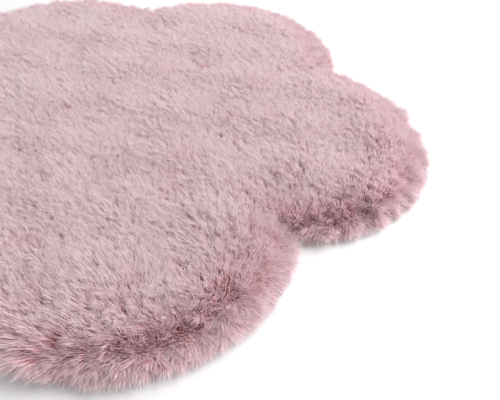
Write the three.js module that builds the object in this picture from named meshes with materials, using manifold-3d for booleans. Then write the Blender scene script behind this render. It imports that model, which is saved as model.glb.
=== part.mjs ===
// A flower rug of deep faux fur: one piece of pile cloth cut to five round petals, lying flat.
// The solid is the fur's own body, a slab with a plump rim, creases and low lumps, and locks of fur
// stand out all round its edge. Millimetres, +Z up. The origin is the flower's centre on the underside,
// and one petal points along -Y.
import * as THREE from "three";
import { mergeVertices } from "three/addons/utils/BufferGeometryUtils.js";
import Module from "manifold-3d";

// Driving dimensions
const petalCount = 5;
const cutWidth = 800; // the ground cloth, across the circle round its petals
const furOverhang = 20; // from the cloth's cut edge out to the edge of the fur
const petalShare = 0.478; // a petal's radius as a share of the whole fur's radius
const pileTop = 28; // height of the fur over the floor, away from the rim
const rimWidth = 36; // how far in from the edge the fur starts to round over
const bulgeHeight = 9; // height at which the rim is widest
const rimTuck = 8; // how far the rim draws in from there to the floor
const lockReach = 12; // how far the longest locks stand out of the rim

// The fur's outline, worked out from the driving dimensions
const furRadius = cutWidth / 2 + furOverhang;
const petalRadius = petalShare * furRadius;
const petalCentre = furRadius - petalRadius;
const rimInset = lockReach / 2; // the slab stops this far inside, so that locks end at the outline
const slabRadius = petalRadius - rimInset;
const petalTurn = (2 * Math.PI) / petalCount;
const firstPetal = -Math.PI / 2;
const halfTurn = petalTurn / 2; // from a petal's middle to the notch beside it, seen from the rug's centre
const notchAngle = halfTurn + Math.asin((petalCentre * Math.sin(halfTurn)) / slabRadius); // from the petal's
const notchRadius = (slabRadius * Math.sin(notchAngle)) / Math.sin(halfTurn);

// How finely the slab is divided
const sectorsPerPetal = 24;
const rimSteps = 6;
const innerRings = 10;
const tuckSteps = 2;

// Low swells of the brushed pile, each a wave across the rug: its heading is in degrees from +X
const swells = [
  { heading: 20, wavelength: 148, height: 0.9, phase: 0.4 },
  { heading: 77, wavelength: 102, height: 0.9, phase: 2.1 },
  { heading: 131, wavelength: 171, height: 1.0, phase: 4.4 },
  { heading: 164, wavelength: 88, height: 0.7, phase: 1.3 },
];

// The crease that runs in from each notch, where the fur of two petals parts
const creaseDepth = 7;
const creaseLength = 95;
const creaseSpread = 13;

// Locks round the rim, in two tiers: the lower one lies on the floor, and the upper one hangs over it
const lockTiers = [
  { perPetal: 27, sides: 3, width: 22, thickness: 12, rootHeight: 0, tipHeight: 0, reach: 1.0, salt: 1 },
  { perPetal: 25, sides: 4, width: 20, thickness: 8, rootHeight: 12, tipHeight: 8, reach: 0.8, salt: 2 },
];
const lockRoot = 16; // how deep a lock starts inside the rim
const lockUnevenness = 0.5; // share by which locks differ in length
const lockStray = 0.5; // share of the space between two locks by which one may stray
const lockSwing = 0.6; // radians that a lock's swing may span about square to the edge

const wasm = await Module();
wasm.setup();

// A repeatable number from 0 to 1 for each pair of whole numbers.
function scatter(index, salt) {
  const wave = Math.sin(index * 12.9898 + salt * 78.233) * 43758.5453;
  return wave - Math.floor(wave);
}

function smoothStep(share) {
  const s = Math.min(Math.max(share, 0), 1);
  return s * s * (3 - 2 * s);
}

// A place on the slab's widest outline, with the direction square to the edge there. place runs
// round a petal from 0 at one notch to 1 at the next.
function edgeAt(petal, place) {
  const axis = firstPetal + petal * petalTurn;
  const turned = axis + (2 * place - 1) * notchAngle;
  const middle = new THREE.Vector2(Math.cos(axis), Math.sin(axis)).multiplyScalar(petalCentre);
  const outward = new THREE.Vector2(Math.cos(turned), Math.sin(turned));
  const point = middle.addScaledVector(outward, slabRadius);
  if (place === 0) outward.copy(point).normalize();
  return { point, outward };
}

// How far the fur sinks at a place, near the crease of each notch.
function creaseAt(x, y) {
  let sunk = 0;
  for (let notch = 0; notch < petalCount; notch += 1) {
    const angle = firstPetal + (notch + 0.5) * petalTurn;
    const along = x * Math.cos(angle) + y * Math.sin(angle);
    const across = y * Math.cos(angle) - x * Math.sin(angle);
    const inward = (notchRadius - along) / creaseLength;
    const fade = 1 - smoothStep(inward);
    if (along > 0) sunk += creaseDepth * fade * Math.exp(-((across / creaseSpread) ** 2));
  }
  return sunk;
}

function swellAt(x, y) {
  let raised = 0;
  for (const { heading, wavelength, height, phase } of swells) {
    const angle = THREE.MathUtils.degToRad(heading);
    const along = x * Math.cos(angle) + y * Math.sin(angle);
    raised += height * Math.sin((2 * Math.PI * along) / wavelength + phase);
  }
  return raised;
}

// The slab's rings, from the middle of the underside out to the rim, over it, and in to the middle of
// the top. inset is how far a ring lies in from the widest outline, share then shrinks it towards the
// middle, and lumps is how much of the swells and creases shows on it.
function slabRings() {
  const rings = [{ share: 0, inset: rimTuck, height: 0, lumps: 0 }];
  for (let step = 0; step <= tuckSteps; step += 1) {
    const turned = ((Math.PI / 2) * step) / tuckSteps;
    const inset = rimTuck * (1 - Math.sin(turned));
    const height = bulgeHeight * (1 - Math.cos(turned));
    rings.push({ share: 1, inset, height, lumps: 0 });
  }
  for (let step = 1; step <= rimSteps; step += 1) {
    const turned = ((Math.PI / 2) * step) / rimSteps;
    const inset = rimWidth * (1 - Math.cos(turned));
    const height = bulgeHeight + (pileTop - bulgeHeight) * Math.sin(turned);
    rings.push({ share: 1, inset, height, lumps: smoothStep(step / rimSteps) });
  }
  for (let ring = innerRings - 1; ring >= 0; ring -= 1) {
    rings.push({ share: ring / innerRings, inset: rimWidth, height: pileTop, lumps: 1 });
  }
  return rings;
}

// The slab starts as a plain disc turned about its axis, with a row of points for each ring, and each
// point is then moved out to the petals and up to the fur's height.
function slab() {
  const rings = slabRings();
  const sectors = petalCount * sectorsPerPetal;
  const disc = rings.map(({ share }, row) => new THREE.Vector2(share, row));
  const geometry = new THREE.LatheGeometry(disc, sectors);
  const position = geometry.getAttribute("position");
  for (let column = 0; column <= sectors; column += 1) {
    const sector = column % sectors;
    const petal = Math.floor(sector / sectorsPerPetal);
    const { point, outward } = edgeAt(petal, (sector % sectorsPerPetal) / sectorsPerPetal);
    rings.forEach(({ share, inset, height, lumps }, row) => {
      const x = share * (point.x - inset * outward.x);
      const y = share * (point.y - inset * outward.y);
      const uneven = lumps * (swellAt(x, y) - creaseAt(x, y));
      position.setXYZ(column * rings.length + row, x, y, height + uneven);
    });
  }
  return geometry;
}

// One lock: a tapered spike with a flat underside, its root buried in the rim. It is leaned so that
// its tip comes to the tier's own height, which is the floor for the lower tier.
function lock(tier, petal, number) {
  const salt = tier.salt + lockTiers.length * petal;
  const stray = lockStray * (scatter(number, salt) - 0.5);
  const { point, outward } = edgeAt(petal, (number + 0.5 + stray) / tier.perPetal);
  const unevenness = 1 - lockUnevenness * scatter(number + tier.perPetal, salt);
  const length = lockRoot + lockReach * tier.reach * unevenness;
  const spike = new THREE.ConeGeometry(1, 1, tier.sides);
  if (tier.sides % 2 === 0) spike.rotateY(Math.PI / tier.sides);
  spike.computeBoundingBox();
  const { min, max } = spike.boundingBox;
  spike.translate(0, -min.y, -min.z);
  spike.scale(tier.width / (max.x - min.x), length, tier.thickness / (max.z - min.z));
  const tip = (tier.thickness * -min.z) / (max.z - min.z);
  const position = spike.getAttribute("position");
  for (let corner = 0; corner < position.count; corner += 1) {
    const lean = (position.getY(corner) / length) * (tier.tipHeight - tier.rootHeight - tip);
    position.setZ(corner, position.getZ(corner) + lean);
  }
  const swing = lockSwing * (scatter(number + 2 * tier.perPetal, salt) - 0.5);
  const heading = Math.atan2(outward.y, outward.x) + swing;
  spike.rotateZ(heading - Math.PI / 2);
  const rootX = point.x - Math.cos(heading) * lockRoot;
  const rootY = point.y - Math.sin(heading) * lockRoot;
  spike.translate(rootX, rootY, tier.rootHeight);
  return spike;
}

function solidOf(geometry) {
  const bare = geometry.index ? geometry.toNonIndexed() : geometry.clone();
  bare.deleteAttribute("normal");
  bare.deleteAttribute("uv");
  const merged = mergeVertices(bare, 1e-3);
  return new wasm.Manifold(
    new wasm.Mesh({
      numProp: 3,
      vertProperties: new Float32Array(merged.attributes.position.array),
      triVerts: new Uint32Array(merged.index.array),
    }),
  );
}

function geometryOf(solid) {
  const { vertProperties, triVerts } = solid.getMesh();
  const geometry = new THREE.BufferGeometry();
  geometry.setAttribute("position", new THREE.BufferAttribute(vertProperties, 3));
  geometry.setIndex(new THREE.BufferAttribute(triVerts, 1));
  geometry.computeVertexNormals();
  return geometry;
}

// The fur as one solid: the slab with every lock joined on.
function furBody() {
  let body = solidOf(slab());
  for (const tier of lockTiers) {
    for (let petal = 0; petal < petalCount; petal += 1) {
      for (let number = 0; number < tier.perPetal; number += 1) {
        body = body.add(solidOf(lock(tier, petal, number)));
      }
    }
  }
  return geometryOf(body);
}

const dustyPinkFur = new THREE.MeshStandardMaterial({ color: 0xcfb0b6, roughness: 0.95, metalness: 0 });

const fur = new THREE.Mesh(furBody(), dustyPinkFur);
fur.name = "fur_rug";

const rug = new THREE.Group();
rug.add(fur);

export default rug;
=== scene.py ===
import math

import bmesh
import bpy
import numpy as np
from mathutils import Matrix, Vector


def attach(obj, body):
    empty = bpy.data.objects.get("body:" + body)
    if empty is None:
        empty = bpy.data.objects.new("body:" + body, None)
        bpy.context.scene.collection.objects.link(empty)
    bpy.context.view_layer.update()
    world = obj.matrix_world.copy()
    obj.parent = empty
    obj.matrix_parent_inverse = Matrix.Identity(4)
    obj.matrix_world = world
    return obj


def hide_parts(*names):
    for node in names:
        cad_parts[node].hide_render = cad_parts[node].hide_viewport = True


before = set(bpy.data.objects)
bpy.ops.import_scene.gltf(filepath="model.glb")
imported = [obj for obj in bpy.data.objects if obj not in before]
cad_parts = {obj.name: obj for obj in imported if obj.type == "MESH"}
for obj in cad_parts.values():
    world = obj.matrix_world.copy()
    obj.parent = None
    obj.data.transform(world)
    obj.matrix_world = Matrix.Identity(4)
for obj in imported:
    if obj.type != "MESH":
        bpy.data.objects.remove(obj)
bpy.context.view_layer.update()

# Camera
# It stands beyond the petal that points along -Y and looks down across the rug, close enough that
# the left petals run out of the picture. Its roll is that of the photograph.
look_at = Vector((0.1453, -0.1844, 0.0))
look_distance = 0.590
look_heading = math.radians(8.2)  # clockwise from +Y, seen from above
look_down = math.radians(44.3)
look_roll = math.radians(4.0)
picture_width = 500
focal_pixels = 470

camera_data = bpy.data.cameras.new("camera")
camera_data.sensor_fit = "HORIZONTAL"
camera_data.sensor_width = 36
camera_data.lens = camera_data.sensor_width * focal_pixels / picture_width
camera_data.clip_start = 0.01
camera = bpy.data.objects.new("camera", camera_data)
bpy.context.scene.collection.objects.link(camera)
bpy.context.scene.camera = camera

level = math.cos(look_down)
forward = Vector((math.sin(look_heading) * level, math.cos(look_heading) * level, -math.sin(look_down)))
level_right = Vector((math.cos(look_heading), -math.sin(look_heading), 0))
level_up = level_right.cross(forward)
right = math.cos(look_roll) * level_right + math.sin(look_roll) * level_up
up = math.cos(look_roll) * level_up - math.sin(look_roll) * level_right
turned = Matrix((right, up, -forward)).transposed().to_4x4()
camera.matrix_world = Matrix.Translation(look_at - look_distance * forward) @ turned

# Studio
# A pale floor in an even white light, with one broad soft lamp to the right of the rug and a little
# behind it, so that the rim that faces the camera is the darkest part of the fur.
floor_half = 3.0
floor_colour = (0.80, 0.80, 0.80)
sky_strength = 0.62
lamp_place = Vector((2.8, 0.6, 1.75))
lamp_width = 3.0
lamp_power = 188

bpy.context.scene.view_settings.view_transform = "Standard"
sky = bpy.data.worlds.new("studio")
sky.use_nodes = True
sky.node_tree.nodes["Background"].inputs["Color"].default_value = (1, 1, 1, 1)
sky.node_tree.nodes["Background"].inputs["Strength"].default_value = sky_strength
bpy.context.scene.world = sky

lamp_data = bpy.data.lights.new("lamp", "AREA")
lamp_data.size = lamp_width
lamp_data.energy = lamp_power
lamp = bpy.data.objects.new("lamp", lamp_data)
lamp.location = lamp_place
lamp.rotation_euler = (-lamp_place).to_track_quat("-Z", "Y").to_euler()
bpy.context.scene.collection.objects.link(lamp)


def add_object(name, shape):
    """Makes a bmesh, or a finished mesh, an object of the scene."""
    mesh = shape
    if isinstance(shape, bmesh.types.BMesh):
        mesh = bpy.data.meshes.new(name)
        shape.to_mesh(mesh)
        shape.free()
    piece = bpy.data.objects.new(name, mesh)
    bpy.context.scene.collection.objects.link(piece)
    return piece


def new_material(name, roughness, specular):
    material = bpy.data.materials.new(name)
    material.use_nodes = True
    shader = material.node_tree.nodes["Principled BSDF"]
    shader.inputs["Roughness"].default_value = roughness
    shader.inputs["Specular IOR Level"].default_value = specular
    return material, material.node_tree.nodes, material.node_tree.links, shader


floor_shape = bmesh.new()
bmesh.ops.create_grid(floor_shape, x_segments=1, y_segments=1, size=floor_half)
floor = add_object("floor", floor_shape)
floor_paint, nodes, links, floor_shader = new_material("floor paint", roughness=0.9, specular=0.5)
floor_shader.inputs["Base Color"].default_value = (*floor_colour, 1)
floor.data.materials.append(floor_paint)

# Ground cloth
# The knitted cloth that the pile is locked into, cut to the flower of five round petals, with a
# plain close-knit underside that lies on the floor.
petal_count = 5
petal_turn = 2 * math.pi / petal_count
first_petal = -math.pi / 2
petal_centre = 0.2192  # from the rug's centre to the centre of a petal's round edge
cut_petal = 0.1808  # radius of a petal of the cut cloth
sectors_per_petal = 48
cloth_thickness = 0.0025
cloth_ease = 0.0008  # how far the cut edge is rounded over
wales = ("X", 170, 0.6)  # the loops' columns: the way they repeat, how closely and how unevenly
courses = ("Y", 220, 0.8)  # the loops' rows
yarn_colours = [(0, (0.42, 0.31, 0.32)), (1, (0.68, 0.55, 0.56))]
knit_relief = 0.0006
knit_strength = 0.6


def notch_angle(petal_radius):
    """From a petal's tip to the notch beside it, about the petal's own centre."""
    half = petal_turn / 2
    return half + math.asin(petal_centre * math.sin(half) / petal_radius)


def flower_disc(rings, height_at=None):
    """A closed disc with the flower's outline. Each ring is (share, inset, height): inset lies in from
    the cut cloth's edge, and share then shrinks the ring towards the rug's centre. The disc is turned
    like a plain one, a row for each ring, and each point is then moved out to its petal."""
    disc = bmesh.new()
    section = [disc.verts.new((share, 0, row)) for row, (share, inset, height) in enumerate(rings)]
    edges = [disc.edges.new(pair) for pair in zip(section, section[1:])]
    sectors = petal_count * sectors_per_petal
    full_turn = {"cent": (0, 0, 0), "axis": (0, 0, 1), "angle": 2 * math.pi, "steps": sectors}
    bmesh.ops.spin(disc, geom=section + edges, use_merge=True, **full_turn)
    bmesh.ops.remove_doubles(disc, verts=disc.verts, dist=1e-5)
    for vert in disc.verts:
        share, inset, height = rings[round(vert.co.z)]
        sector = round(math.atan2(vert.co.y, vert.co.x) / (2 * math.pi) * sectors) % sectors
        petal, step = divmod(sector, sectors_per_petal)
        axis = first_petal + petal * petal_turn
        bearing = axis + (2 * step / sectors_per_petal - 1) * notch_angle(cut_petal)
        middle = Vector((math.cos(axis), math.sin(axis))) * petal_centre
        outward = Vector((math.cos(bearing), math.sin(bearing)))
        edge = middle + outward * cut_petal
        if step == 0:
            outward = edge.normalized()
        spot = share * (edge - inset * outward)
        raised = height_at(spot.x, spot.y, inset) if height_at else 0
        vert.co = (spot.x, spot.y, height + raised)
    bmesh.ops.recalc_face_normals(disc, faces=disc.faces)
    return disc


def colour_ramp(nodes, stops):
    """A node that turns a value into a colour. Each stop is a value and its colour."""
    ramp = nodes.new("ShaderNodeValToRGB")
    elements = ramp.color_ramp.elements
    elements.remove(elements[1])
    for value, colour in stops[1:]:
        elements.new(value).color = (*colour, 1)
    elements[0].position = stops[0][0]
    elements[0].color = (*stops[0][1], 1)
    return ramp


cloth_rings = [
    (0.0, 0, 0),
    (0.5, 0, 0),
    (1.0, cloth_ease, 0),
    (1.0, 0, cloth_ease),
    (1.0, 0, cloth_thickness - cloth_ease),
    (1.0, cloth_ease, cloth_thickness),
    (0.5, 0, cloth_thickness),
    (0.0, 0, cloth_thickness),
]
ground_cloth = add_object("ground_cloth", flower_disc(cloth_rings))

cloth_finish, nodes, links, cloth_shader = new_material("knitted ground cloth", roughness=0.95, specular=0.2)
place = nodes.new("ShaderNodeTexCoord")
loops = nodes.new("ShaderNodeMath")
loops.operation = "MULTIPLY"
for number, (direction, closeness, unevenness) in enumerate([wales, courses]):
    bands = nodes.new("ShaderNodeTexWave")
    bands.bands_direction = direction
    bands.inputs["Scale"].default_value = closeness
    bands.inputs["Distortion"].default_value = unevenness
    links.new(place.outputs["Object"], bands.inputs["Vector"])
    links.new(bands.outputs["Fac"], loops.inputs[number])
yarn = colour_ramp(nodes, yarn_colours)
links.new(loops.outputs["Value"], yarn.inputs["Fac"])
links.new(yarn.outputs["Color"], cloth_shader.inputs["Base Color"])
knit_bump = nodes.new("ShaderNodeBump")
knit_bump.inputs["Strength"].default_value = knit_strength
knit_bump.inputs["Distance"].default_value = knit_relief
links.new(loops.outputs["Value"], knit_bump.inputs["Height"])
links.new(knit_bump.outputs["Normal"], cloth_shader.inputs["Normal"])
ground_cloth.data.materials.append(cloth_finish)
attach(ground_cloth, "root")

# Underfur
# The short dense wool at the foot of the pile. It fills the space between the long hairs, and shows
# only between them, as a dark rose that is partly its own colour and partly painted shade deep in the pile.
underfur_height = 0.0165
underfur_foot = 0.004  # height at which its side stands out the farthest
underfur_reach = 0.009  # how far it stands out past the cut edge there
underfur_shoulder = 0.034  # how far in from there its side rounds over
shoulder_steps = 8
top_steps = 30
# the wool's rose, darkened with painted shade for the shade that falls deep between the long hairs
shaded_wool_colours = [(0.35, (0.25, 0.085, 0.105)), (0.68, (0.50, 0.235, 0.275))]
wool_fineness = 420
wool_detail = 3
wool_relief = 0.002
wool_strength = 0.8
swells = [
    # heading in degrees from +X, wavelength, height, phase
    (20, 0.148, 0.0009, 0.4),
    (77, 0.102, 0.0009, 2.1),
    (131, 0.171, 0.0010, 4.4),
    (164, 0.088, 0.0007, 1.3),
]


def swell_at(x, y):
    """Height of the low swells of the brushed pile, for one place or for arrays of them."""
    raised = 0
    for heading, wavelength, height, phase in swells:
        along = x * math.cos(math.radians(heading)) + y * math.sin(math.radians(heading))
        raised = raised + height * np.sin(2 * math.pi * along / wavelength + phase)
    return raised


def underfur_swell(x, y, inset):
    return float(swell_at(x, y)) if inset >= underfur_shoulder - underfur_reach else 0


underfur_rings = [(0.0, 0, cloth_thickness), (0.5, 0, cloth_thickness), (1.0, 0, cloth_thickness)]
for step in range(shoulder_steps + 1):
    bend = math.pi / 2 * step / shoulder_steps
    inset = underfur_shoulder * (1 - math.cos(bend)) - underfur_reach
    height = underfur_foot + (underfur_height - underfur_foot) * math.sin(bend)
    underfur_rings.append((1.0, inset, height))
for step in range(top_steps - 1, -1, -1):
    underfur_rings.append((step / top_steps, underfur_shoulder - underfur_reach, underfur_height))
underfur = add_object("underfur", flower_disc(underfur_rings, underfur_swell))
for face in underfur.data.polygons:
    face.use_smooth = True

underfur_finish, nodes, links, underfur_shader = new_material("underfur", roughness=1.0, specular=0.0)
place = nodes.new("ShaderNodeTexCoord")
wool = nodes.new("ShaderNodeTexNoise")
wool.inputs["Scale"].default_value = wool_fineness
wool.inputs["Detail"].default_value = wool_detail
links.new(place.outputs["Object"], wool.inputs["Vector"])
# painted shade: the wool's colours are darkened for the shade deep in the pile
shaded_wool_tone = colour_ramp(nodes, shaded_wool_colours)
links.new(wool.outputs["Fac"], shaded_wool_tone.inputs["Fac"])
links.new(shaded_wool_tone.outputs["Color"], underfur_shader.inputs["Base Color"])
wool_bump = nodes.new("ShaderNodeBump")
wool_bump.inputs["Strength"].default_value = wool_strength
wool_bump.inputs["Distance"].default_value = wool_relief
links.new(wool.outputs["Fac"], wool_bump.inputs["Height"])
links.new(wool_bump.outputs["Normal"], underfur_shader.inputs["Normal"])
underfur.data.materials.append(underfur_finish)
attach(underfur, "root")
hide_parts("fur_rug")

# Pile
# The long soft hair of the fur. It stands in small tufts, is brushed back and to the left as the
# photograph shows, and fans out over the cut edge, where its tips hang to the floor. Each hair is one
# narrow face that starts where the hair comes into sight, and the hair of each petal is one mesh.
rng = np.random.default_rng(11)
half_span = 0.41  # of the square in which the tufts are set out
tuft_spacing = 0.0026
tuft_jitter = 0.28  # how unevenly tufts are set, as a share of their spacing
edge_margin = 0.0005  # no tuft is rooted nearer to the cut edge
tuft_spread = 0.0020  # how far from a tuft's middle its hairs are rooted
hairs_per_tuft = 9.1
rim_crowding = 4.4  # how many hairs a tuft at the cut edge has, for each that others have
rim_onset = 2  # how soon hair that fans out is crowded and turned like that at the cut edge
pile_height = 0.0255  # over the cloth
edge_length = 0.0222  # hair length at the cut edge
edge_tuck = 0.009  # how much shorter the lowest hair is along the petals' -Y sides
tuck_power = 4  # how fast that fades as the hair stands up
tuft_length_spread = 0.05  # share by which whole tufts differ in length
hair_length_spread = 0.06  # share by which the hairs of a tuft differ
brushed = (-0.44, 0.41)  # how far the hair leans, for each unit that it rises
brush_waver = 0.16
tuft_waver = 0.40
fan_width = 0.032  # the band inside the cut edge in which the hair turns outward
right_fan = 0.018  # how much wider it is on the petals' +X sides
fan_angle = math.radians(98)
fan_power = 1.9
fan_waver = 0.0035  # how far the band's inner side wanders
edge_swirl = 0.4  # share of the brushed lean along the edge that is left in the hair there
standing_start = 0.072  # where hair that is brushed away from the edge starts to stand up instead
standing_full = 0.012  # where it stands up the most
standing_lean = 0.4  # the lean away from the edge that stands up fully
standing_out = 0.55  # the share of that lean that is lost
standing_along = 0.35  # the share of the lean along the edge that is lost with it
hair_stray = 0.0020  # how far a tip strays from its tuft's
parting_stray = 0.0024  # how much farther it does where the hair parts
stray_limit = 2.2  # the farthest stray, for each unit of the usual one
upright_stray = 1 / 3  # the share of a stray that is left in the hair's height
tuft_gather = 0.60  # share by which the tips of a tuft close in on its middle
rim_gather = 0.12  # the same at the cut edge
knee_lift = 0.003  # how far a hair's middle is bowed up
rim_knee_lift = 0.007
foot_share = 0.66  # the share of a hair that is out of sight in the fur
rim_foot_share = 0.42
foot_onset = 3  # how soon hair that fans out comes into sight that low
hair_width = 0.0012
width_spread = 0.3  # share by which hairs differ in width
blade_turn = 0.14  # how unevenly the hairs' flat sides face
rim_turn = 0.2
# The fur's colours: each stop is a place along the hair and its colour there, for the darkest and for
# the lightest hair. Towards the root each ramp turns darker and redder, partly the fur's own deeper rose
# and partly painted shade deep in the pile; its lowest stops are reached only in the parting, as painted
# shade.
dark_hair_colours_and_root_shade = [(0.25, (0.72, 0.21, 0.26)), (0.62, (0.83, 0.535, 0.585)), (1, (0.875, 0.815, 0.828))]
light_hair_colours_and_root_shade = [(0.25, (0.82, 0.32, 0.38)), (0.62, (0.89, 0.71, 0.745)), (1, (0.925, 0.905, 0.913))]
base_place = 0.60  # the place on the ramps where a hair starts
# The same for hair in the parting, lower and darker on the ramps: painted shade where the hair parts
shaded_base_place = 0.32
tip_place = 0.98
shaded_tip_place = 0.94
parting_shade_onset = 6  # how soon hair that fans out gets its full painted shade in the parting
tuft_shade_spread = 0.05  # how much whole tufts differ in shade, from 0, the darkest, to 1
patch_shade_spread = 0.07
hair_shade_spread = 0.04
rim_evenness = 0.5  # the share of these differences that is left at the cut edge
shade_margin = 0.03  # no hair is nearer to the darkest or the lightest
map_width = 0.01  # half the width of a hair on the map
hair_glow = 0.56  # the share of light that passes through the hair


def waves(x, y, shortest, longest, count):
    """A smooth uneven field with a spread of about 1, made of waves with random headings."""
    field = np.zeros_like(x)
    for _ in range(count):
        heading, phase = rng.uniform(0, 2 * math.pi, 2)
        length = rng.uniform(shortest, longest)
        along = x * math.cos(heading) + y * math.sin(heading)
        field += np.sin(2 * math.pi * along / length + phase)
    return field * math.sqrt(2 / count)


def cloth_edge(x, y):
    """For places on the cloth: the distance in from the cut edge, the direction out to the nearest
    point of it, and the petal."""
    petal = np.round((np.arctan2(y, x) - first_petal) / petal_turn)
    axis = first_petal + petal * petal_turn
    along = x * np.cos(axis) + y * np.sin(axis) - petal_centre
    across = y * np.cos(axis) - x * np.sin(axis)
    reach = np.hypot(along, across)
    inward = cut_petal - reach
    out_along = along / reach
    out_across = across / reach
    notch = notch_angle(cut_petal)
    to_notch_along = cut_petal * math.cos(notch) - along
    to_notch_across = np.sign(across) * cut_petal * math.sin(notch) - across
    notch_distance = np.hypot(to_notch_along, to_notch_across)
    inner = np.abs(np.arctan2(across, along)) > notch
    inward = np.where(inner, notch_distance, inward)
    out_along = np.where(inner, to_notch_along / notch_distance, out_along)
    out_across = np.where(inner, to_notch_across / notch_distance, out_across)
    out_x = out_along * np.cos(axis) - out_across * np.sin(axis)
    out_y = out_along * np.sin(axis) + out_across * np.cos(axis)
    return inward, out_x, out_y, petal.astype(int) % petal_count


def towards(start, end, share):
    """A value that goes from start to end as share goes from 0 to 1, and stays there."""
    return start + (end - start) * np.clip(share, 0, 1)


# The tufts stand in staggered rows, each moved a little at random
rows = np.arange(-half_span, half_span, tuft_spacing * math.sqrt(3) / 2)
columns = np.arange(-half_span, half_span, tuft_spacing)
tuft_x, tuft_y = np.meshgrid(columns, rows)
tuft_x[1::2] += tuft_spacing / 2
tuft_x = tuft_x.ravel() + rng.normal(0, tuft_jitter * tuft_spacing, tuft_x.size)
tuft_y = tuft_y.ravel() + rng.normal(0, tuft_jitter * tuft_spacing, tuft_y.size)
inward, _, _, _ = cloth_edge(tuft_x, tuft_y)
on_cloth = inward > edge_margin
tuft_x, tuft_y = tuft_x[on_cloth], tuft_y[on_cloth]
inward, out_x, out_y, tuft_petal = cloth_edge(tuft_x, tuft_y)
tuft_count = len(tuft_x)

# How each tuft leans, and how far it is turned out over the edge
uneven_inward = inward + fan_waver * waves(tuft_x, tuft_y, shortest=0.015, longest=0.05, count=14)
band = fan_width + right_fan * np.clip(out_x, 0, 1)
fan = np.clip(1 - uneven_inward / band, 0, 1) ** fan_power
bend = fan * fan_angle
lean_x = brushed[0] + brush_waver * waves(tuft_x, tuft_y, shortest=0.03, longest=0.12, count=14)
lean_x += rng.normal(0, tuft_waver, tuft_count)
lean_y = brushed[1] + brush_waver * waves(tuft_x, tuft_y, shortest=0.03, longest=0.12, count=14)
lean_y += rng.normal(0, tuft_waver, tuft_count)
lean_out = lean_x * out_x + lean_y * out_y
lean_along = lean_y * out_x - lean_x * out_y
near_edge = np.clip((standing_start - inward) / (standing_start - standing_full), 0, 1)
standing = np.clip(-lean_out / standing_lean, 0, 1) * near_edge
lean_out *= 1 - standing_out * standing
lean_along *= 1 - standing_along * standing

# Where the tip of each tuft stands from its root
length = towards(pile_height, edge_length, fan) - edge_tuck * fan**tuck_power * np.clip(-out_y, 0, 1)
length *= 1 + rng.uniform(-tuft_length_spread, tuft_length_spread, tuft_count)
rise = np.cos(bend)
swirl = np.maximum(rise, edge_swirl) * lean_along
tip_out = np.sin(bend) + rise * lean_out
tip_x = length * (tip_out * out_x - swirl * out_y)
tip_y = length * (tip_out * out_y + swirl * out_x)
tip_z = rise * (length + swell_at(tuft_x, tuft_y))
tuft_shade = rng.normal(0, tuft_shade_spread, tuft_count)
tuft_shade += patch_shade_spread * waves(tuft_x, tuft_y, shortest=0.02, longest=0.2, count=16)

# Its hairs
hairs = towards(hairs_per_tuft, hairs_per_tuft * rim_crowding, rim_onset * fan)
of_tuft = np.repeat(np.arange(tuft_count), (hairs + rng.uniform(0, 1, tuft_count)).astype(int))
hair_count = len(of_tuft)
hair_fan = fan[of_tuft]
around = rng.uniform(0, 2 * math.pi, hair_count)
apart = tuft_spread * np.sqrt(rng.uniform(0, 1, hair_count))
off_x = apart * np.cos(around)
off_y = apart * np.sin(around)
level_foot = np.full(hair_count, cloth_thickness)
foot = np.stack([tuft_x[of_tuft] + off_x, tuft_y[of_tuft] + off_y, level_foot], axis=1)
hair_length = 1 + rng.uniform(-hair_length_spread, hair_length_spread, hair_count)
parting = 4 * hair_fan * (1 - hair_fan)  # 1 where the hair is half fanned out
stray = np.clip(rng.normal(0, 1, (hair_count, 3)), -stray_limit, stray_limit)
stray *= (hair_stray + parting_stray * parting)[:, None]
stray[:, 2] *= upright_stray
gather = towards(tuft_gather, rim_gather, hair_fan)
stray[:, 0] -= gather * off_x
stray[:, 1] -= gather * off_y
tip = foot + np.stack([tip_x, tip_y, tip_z], axis=1)[of_tuft] * hair_length[:, None] + stray
lowest_tip = 0.0003
tip[:, 2] = np.maximum(tip[:, 2], lowest_tip)


def along_hair(share):
    """The point at that share of each hair's length: it rises first and then leans over."""
    share = share[:, None]
    knee = (foot + tip) / 2
    knee[:, 2] += towards(knee_lift, rim_knee_lift, hair_fan)
    return (1 - share) ** 2 * foot + 2 * share * (1 - share) * knee + share**2 * tip


base = along_hair(towards(foot_share, rim_foot_share, foot_onset * hair_fan))
course = tip - base
course /= np.linalg.norm(course, axis=1)[:, None]
turn = rng.normal(0, 1, (hair_count, 3)) * towards(blade_turn, rim_turn, rim_onset * hair_fan)[:, None]
turn[:, 2] += 1
sideways = np.cross(course, turn)
sideways /= np.linalg.norm(sideways, axis=1)[:, None]
sideways *= (hair_width / 2 * rng.uniform(1 - width_spread, 1 + width_spread, hair_count))[:, None]
blades = np.stack([base - sideways, base + sideways, tip], axis=1)

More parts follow.
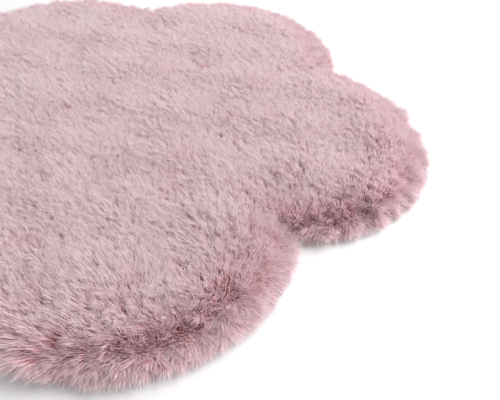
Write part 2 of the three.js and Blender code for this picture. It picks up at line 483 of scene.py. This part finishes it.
# Where each hair lies on the colours' map: its shade across, and the place along the hair up
shade = tuft_shade[of_tuft] + rng.normal(0, hair_shade_spread, hair_count)
shade = np.clip(0.5 + towards(1, rim_evenness, hair_fan) * shade, shade_margin, 1 - shade_margin)
# Painted shade in the parting: strongest where the hair has just begun to turn out, none on the open pile or
# at the very edge
parting_shade = np.clip(parting_shade_onset * hair_fan, 0, 1) * (1 - hair_fan)
base_tone = towards(base_place, shaded_base_place, parting_shade)
tip_tone = towards(tip_place, shaded_tip_place, parting_shade)
hair_u = shade[:, None] + np.array([[-map_width, map_width, 0]])
hair_v = np.stack([base_tone, base_tone, tip_tone], axis=1)
hair_map = np.stack([hair_u, hair_v], axis=2)

fur_finish, nodes, links, fur_shader = new_material("long soft hair", roughness=0.75, specular=0.0)
fur_map = nodes.new("ShaderNodeUVMap")
fur_map.uv_map = "OFBake"
split = nodes.new("ShaderNodeSeparateXYZ")
links.new(fur_map.outputs["UV"], split.inputs["Vector"])
# each ramp is darker towards the root: partly the fur's own colour, partly painted shade deep in the pile
dark_hair = colour_ramp(nodes, dark_hair_colours_and_root_shade)
light_hair = colour_ramp(nodes, light_hair_colours_and_root_shade)
links.new(split.outputs["Y"], dark_hair.inputs["Fac"])
links.new(split.outputs["Y"], light_hair.inputs["Fac"])
blend = nodes.new("ShaderNodeMix")
blend.data_type = "RGBA"
links.new(split.outputs["X"], blend.inputs["Factor"])
links.new(dark_hair.outputs["Color"], blend.inputs["A"])
links.new(light_hair.outputs["Color"], blend.inputs["B"])
links.new(blend.outputs["Result"], fur_shader.inputs["Base Color"])
glow = nodes.new("ShaderNodeBsdfTranslucent")
links.new(blend.outputs["Result"], glow.inputs["Color"])
both = nodes.new("ShaderNodeMixShader")
both.inputs["Fac"].default_value = hair_glow
links.new(fur_shader.outputs["BSDF"], both.inputs[1])
links.new(glow.outputs["BSDF"], both.inputs[2])
links.new(both.outputs["Shader"], nodes["Material Output"].inputs["Surface"])

for petal in range(petal_count):
    chosen = tuft_petal[of_tuft] == petal
    count = int(chosen.sum())
    mesh = bpy.data.meshes.new(f"pile_petal_{petal + 1}")
    mesh.vertices.add(3 * count)
    mesh.vertices.foreach_set("co", blades[chosen].ravel())
    mesh.loops.add(3 * count)
    mesh.loops.foreach_set("vertex_index", np.arange(3 * count))
    mesh.polygons.add(count)
    mesh.polygons.foreach_set("loop_start", 3 * np.arange(count))
    mesh.update(calc_edges=True)
    mesh.uv_layers.new(name="OFBake").data.foreach_set("uv", hair_map[chosen].ravel())
    mesh.materials.append(fur_finish)
    piece = add_object(f"pile_petal_{petal + 1}", mesh)
    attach(piece, "root")
